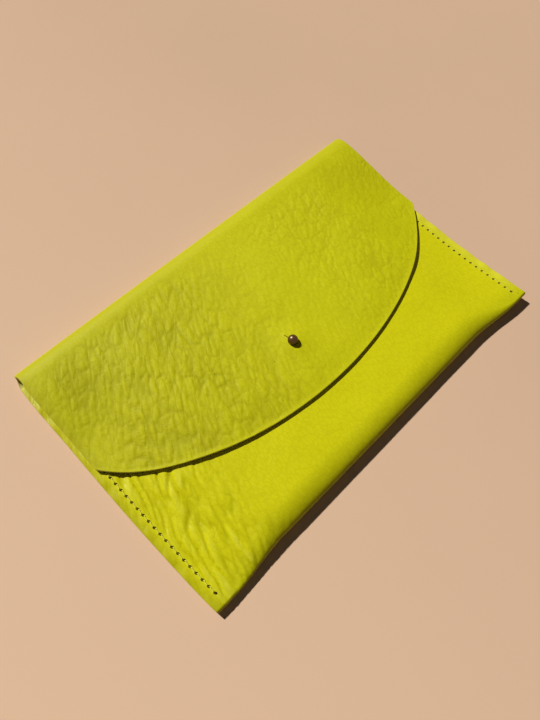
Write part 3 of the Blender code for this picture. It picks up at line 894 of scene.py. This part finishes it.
keyhole = bmesh.new()
eye = Vector((STUD_X, STUD_Y, 0))
add_cylinder(keyhole, KEYHOLE_RADIUS, eye, eye + Vector((0, 0, 20 * MM)), 40)
punch(flap, keyhole)
slit = bmesh.new()
verts = bmesh.ops.create_cube(slit, size=1)["verts"]
slit_reach = SLIT_LENGTH + KEYHOLE_RADIUS
bmesh.ops.scale(slit, verts=verts, vec=(SLIT_WIDTH, slit_reach, 40 * MM))
bmesh.ops.translate(slit, verts=verts, vec=Vector((0, slit_reach / 2, 0)))
bmesh.ops.rotate(slit, verts=verts, cent=(0, 0, 0), matrix=Matrix.Rotation(SLIT_SLANT, 3, "Z"))
bmesh.ops.translate(slit, verts=verts, vec=eye)
punch(flap, slit)
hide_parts("flap", "top_fold")
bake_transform(flap)

# Ball stud and its screw
# A solid brass stud, turned in one piece: ball, neck and flange. Its dark colour is partly
# age and partly painted shade, standing in for dark reflections. A slotted screw from inside
# the pocket holds it in its seat on the front panel.
BALL_RADIUS = 2.5 * MM
BALL_STEPS = 24
BALL_SINKS = 0.5 * MM            # the leather round the hole gives way under the ball
NECK_RADIUS, NECK_FLARE = 1.5 * MM, 0.12 * MM
FLANGE_THICKNESS, FLANGE_EASE = 0.5 * MM, 0.1 * MM
SCREW_HOLE_DEPTH = 3.25 * MM
STUD_SIDES = 64
# Painted shade: both brass colours are darker than the aged metal, in place of dark reflections.
BRASS_DARK, BRASS_PALE = (0.05, 0.034, 0.019), (0.19, 0.13, 0.075)


def aged_brass():
    finish, start = new_material("aged_brass")
    place = start.node("TexCoord", {}, {}, output=3)
    cloud = start.node(
        "TexNoise", {}, {"Vector": place, "Scale": 900.0, "Detail": 4.0, "Roughness": 0.6})
    marks = start.node("TexNoise", {}, {"Vector": place, "Scale": 3200.0, "Detail": 3.0})
    colour = tint(start, cloud, BRASS_DARK, BRASS_PALE)
    bump = start.node("Bump", {}, {"Strength": 0.25, "Distance": 0.02 * MM, "Height": marks})
    finish_with(start, {
        "Base Color": colour, "Metallic": 1.0, "Roughness": 0.28 + cloud * 0.16, "Normal": bump})
    return finish


ball_z = stud_high.z - BALL_RADIUS - BALL_SINKS
neck_angle = math.pi - math.asin(NECK_RADIUS / BALL_RADIUS)
profile = []
for step in range(BALL_STEPS + 1):
    angle = neck_angle * step / BALL_STEPS
    profile.append((BALL_RADIUS * math.sin(angle), ball_z + BALL_RADIUS * math.cos(angle)))
flange_low = stud_low.z
profile += [
    (NECK_RADIUS, flange_low + 0.75 * MM),
    (NECK_RADIUS + NECK_FLARE, flange_low + 0.56 * MM),
    (NECK_RADIUS + 0.3 * MM, flange_low + FLANGE_THICKNESS),
    (FLANGE_RADIUS - FLANGE_EASE, flange_low + FLANGE_THICKNESS),
    (FLANGE_RADIUS, flange_low + 0.4 * MM),
    (FLANGE_RADIUS, flange_low + FLANGE_EASE),
    (FLANGE_RADIUS - FLANGE_EASE, flange_low),
    (BORE_RADIUS, flange_low),
    (BORE_RADIUS, flange_low + SCREW_HOLE_DEPTH),
    (0, flange_low + SCREW_HOLE_DEPTH),
]
bm = bmesh.new()
line = [bm.verts.new((STUD_X + radius, STUD_Y, height)) for radius, height in profile]
edges = [bm.edges.new(pair) for pair in zip(line, line[1:])]
bmesh.ops.spin(
    bm, geom=line + edges, cent=(STUD_X, STUD_Y, 0), axis=(0, 0, 1), angle=2 * math.pi,
    steps=STUD_SIDES, use_merge=True)
bmesh.ops.remove_doubles(bm, verts=bm.verts[:], dist=0.01 * MM)
bmesh.ops.recalc_face_normals(bm, faces=bm.faces[:])
for face in bm.faces:
    face.smooth = True
brass = aged_brass()
stud = add_object("ball_stud", bm, [brass])
stud.data.set_sharp_from_angle(angle=math.radians(40))
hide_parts("stud_head")
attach(stud, "pouch")
screw = frame["nodes"]["stud_screw"]
screw.data.materials.clear()
screw.data.materials.append(brass)

# Seam threads
# Each side is sewn with two waxed three-ply threads, one on the front and one on the
# back. They lie in a pressed groove and cross between the plies in every awl hole.
THREAD_RADIUS = 0.24 * MM
THREAD_SIDES = 9
THREAD_STEP = 0.16 * MM
TWIST_PITCH = 0.9 * MM
PLY_DEPTH = 0.1                  # of the radius, between the three plies
CROSSING = 0.28 * MM             # the two threads pass this far from the middle of the plies
# Through a hole: millimetres along the seam, and share of the way down to the crossing.
HOLE_DIP = ((-0.75, 0.0), (-0.4, 0.6), (0.0, 1.0), (0.4, 0.6), (0.75, 0.0))
HOLE_SLANT, STITCH_SLANT = 0.45, 0.5
THREAD_DEEP, THREAD_PALE, THREAD_VALLEY_SHADE = (0.62, 0.61, 0.04), (0.76, 0.74, 0.10), (0.46, 0.45, 0.03)


def thread_height(x, y, face, sunk):
    """Height of a thread on the front (1) or the back (-1), sunk into its groove."""
    surface = front_height(x, y) if face > 0 else back_height(x, y)
    return surface - face * GROOVE_DEPTH * sunk + face * THREAD_RADIUS * (0.6 * sunk)


def thread_route(side, face):
    """Points along one thread; face is 1 on the front panel and -1 on the back."""
    route = []
    x = side * SEAM_X
    for number, y in enumerate(stitch_y):
        middle = back_height(x, y) + SEWN_THICKNESS / 2 + face * CROSSING
        for step, dip in HOLE_DIP:
            spot_y = y + step * MM
            spot_x = x - step * HOLE_SLANT * MM + pocket_place(x, spot_y)
            top = thread_height(x, spot_y, face, 1)
            route.append((spot_x, spot_y, mix(top, middle, dip)))
        if number < STITCHES - 1:
            for share in (0.35, 0.65):
                spot_y = y + share * STITCH_PITCH
                spot_x = x + (share - 0.5) * STITCH_SLANT * MM + pocket_place(x, spot_y)
                route.append((spot_x, spot_y, thread_height(x, spot_y, face, 0.5)))
    return np.array(route[2:-2], float)


def smooth_line(points, step):
    """Even points on a smooth curve through the given ones, and their distances along it."""
    ends = np.vstack([2 * points[0] - points[1], points, 2 * points[-1] - points[-2]])
    fine = []
    for a, b, c, d in zip(ends, ends[1:], ends[2:], ends[3:]):
        for t in np.linspace(0, 1, 8, endpoint=False):
            fine.append(0.5 * (2 * b + (c - a) * t + (2 * a - 5 * b + 4 * c - d) * t * t
                               + (3 * b - a - 3 * c + d) * t ** 3))
    fine = np.array([*fine, points[-1]])
    length = np.concatenate([[0], np.cumsum(np.linalg.norm(np.diff(fine, axis=0), axis=1))])
    even = np.linspace(0, length[-1], int(length[-1] / step) + 1)
    return np.stack([np.interp(even, length, fine[:, k]) for k in range(3)], axis=1), even


def thread_piece(name, points, finish):
    """Three plies twisted together, as a round tube with three spiral ridges."""
    line, length = smooth_line(points, THREAD_STEP)
    ahead = np.gradient(line, axis=0)
    ahead /= np.linalg.norm(ahead, axis=1, keepdims=True)
    across = np.array([1.0, 0, 0]) - ahead * ahead[:, :1]
    across /= np.linalg.norm(across, axis=1, keepdims=True)
    up = np.cross(ahead, across)
    bm = bmesh.new()
    bmesh.ops.create_grid(bm, x_segments=THREAD_SIDES, y_segments=len(line) - 1, size=0.5)
    uv = bm.loops.layers.uv.new("twist")
    for face in bm.faces:
        face.smooth = True
        for loop in face.loops:
            loop[uv].uv = (loop.vert.co.x + 0.5, (loop.vert.co.y + 0.5) * length[-1] / TWIST_PITCH)
    for vert in bm.verts:
        turn = (vert.co.x + 0.5) * 2 * math.pi
        ring = round((vert.co.y + 0.5) * (len(line) - 1))
        ply = math.cos(3 * (turn - 2 * math.pi * length[ring] / TWIST_PITCH / 3))
        radius = THREAD_RADIUS * (1 - PLY_DEPTH + PLY_DEPTH * ply)
        vert.co = line[ring] + radius * (math.cos(turn) * across[ring] + math.sin(turn) * up[ring])
    bmesh.ops.remove_doubles(bm, verts=bm.verts[:], dist=0.002 * MM)
    open_ends = [edge for edge in bm.edges if edge.is_boundary]
    bmesh.ops.holes_fill(bm, edges=open_ends, sides=THREAD_SIDES + 1)
    bmesh.ops.recalc_face_normals(bm, faces=bm.faces[:])
    return add_object(name, bm, [finish])


def waxed_thread():
    finish, start = new_material("lime_thread")
    place = start.node("UVMap", {"uv_map": "twist"}, {})
    ply = start.node(
        "TexWave", {"bands_direction": "DIAGONAL"},
        {"Vector": place, "Scale": 1.5, "Distortion": 0.6})
    fibre = start.node("Mapping", {}, {"Vector": place, "Scale": (30, 9, 1)})
    fibre = start.node("TexNoise", {}, {"Vector": fibre, "Scale": 1.0, "Detail": 3.0})
    colour = tint(start, fibre, THREAD_DEEP, THREAD_PALE)
    # Painted shade: darker in the grooves between the plies.
    colour = tint(start, (1 - ply) * 0.3, colour, THREAD_VALLEY_SHADE)
    bump = start.node("Bump", {}, {"Strength": 0.4, "Distance": 0.04 * MM, "Height": fibre + ply})
    finish_with(start, {
        "Base Color": colour, "Roughness": 0.7 + fibre * 0.15, "Normal": bump,
        "Specular IOR Level": 0.12})
    return finish


thread_finish = waxed_thread()
for layer, face in (("needle_thread", 1), ("bobbin_thread", -1)):
    for word, side in (("left", -1), ("right", 1)):
        piece = thread_piece(f"{layer}_{word}_twisted", thread_route(side, face), thread_finish)
        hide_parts(f"{layer}_{word}")
        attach(piece, "pouch")

# Floor, light and camera
# Stage only: warm pale card under a low, fairly hard key light from behind the top fold,
# with a weak even fill.
FLOOR = (0.66, 0.45, 0.30)
FLOOR_SIZE = 3


def floor_shade(factor):
    return tuple(factor * c for c in FLOOR)


def card():
    """Warm card, a little brighter to the west: painted light."""
    finish, start = new_material("warm_card")
    place = start.node("TexCoord", {}, {}, output=3)
    cloud = start.node("TexNoise", {}, {"Vector": place, "Scale": 9.0, "Detail": 3.0})
    tooth = start.node("TexNoise", {}, {"Vector": place, "Scale": 700.0, "Detail": 3.0})
    colour = tint(start, cloud, floor_shade(0.96), floor_shade(1.04))
    # Painted light: the card brightens towards the west.
    west = start.node("SeparateXYZ", {}, {0: place})
    west = ramp(start, 0.5 - west, (0.4, 0.0), (0.75, 1.0))
    colour = tint(start, west, colour, floor_shade(1.19))
    bump = start.node("Bump", {}, {"Strength": 0.15, "Distance": 0.05 * MM, "Height": tooth})
    finish_with(start, {
        "Base Color": colour, "Roughness": 0.9, "Normal": bump, "Specular IOR Level": 0.1})
    return finish


bm = bmesh.new()
bmesh.ops.create_grid(bm, x_segments=1, y_segments=1, size=FLOOR_SIZE)
floor = add_object("floor", bm, [card()])

world = bpy.data.worlds.new("studio")
bpy.context.scene.world = world
world.use_nodes = True
world.node_tree.nodes.clear()
start = Signal(world.node_tree)
rays = start.node("LightPath", {}, {})
# The floor's colour shows behind it and in reflections; all else is lit by the weak fill.
shows = start.math("MAXIMUM", rays, rays.twin("Is Glossy Ray"))
shows = start.math("MAXIMUM", shows, rays.twin("Is Transmission Ray"))
fill = start.node("Background", {}, {"Color": (1.0, 0.97, 0.94), "Strength": 0.05})
backdrop = start.node("Background", {}, {"Color": FLOOR, "Strength": 1.0})
shader = start.node("MixShader", {}, {0: shows, 1: fill, 2: backdrop})
start.node("OutputWorld", {}, {"Surface": shader})

KEY_DIRECTION = Vector((-0.12, 1.08, 1.0))
key = bpy.data.lights.new("key", "SUN")
key.energy = 4.15
key.angle = math.radians(2.5)
key.color = (1.0, 0.985, 0.96)
key_object = bpy.data.objects.new("key", key)
key_object.rotation_euler = KEY_DIRECTION.to_track_quat("Z", "Y").to_euler()
bpy.context.scene.collection.objects.link(key_object)

# The picture's right, down and view directions, as solved from the pouch's outline.
RIGHT = Vector((0.7097, -0.7012, 0.0686))
DOWN = Vector((-0.6209, -0.6685, -0.4093))
FORWARD = Vector((0.3329, 0.2479, -0.9098))
CAMERA_PLACE = Vector((-106.24, -71.9, 252.27)) * MM
lens = bpy.data.cameras.new("camera")
lens.sensor_width = 36
lens.lens = 28.84
lens.clip_start = 0.01
lens.clip_end = 20
camera = bpy.data.objects.new("camera", lens)
turn = Matrix((RIGHT, -DOWN, -FORWARD)).transposed().to_4x4()
camera.matrix_world = Matrix.Translation(CAMERA_PLACE) @ turn
bpy.context.scene.collection.objects.link(camera)
bpy.context.scene.camera = camera
bpy.context.scene.view_settings.view_transform = "Standard"
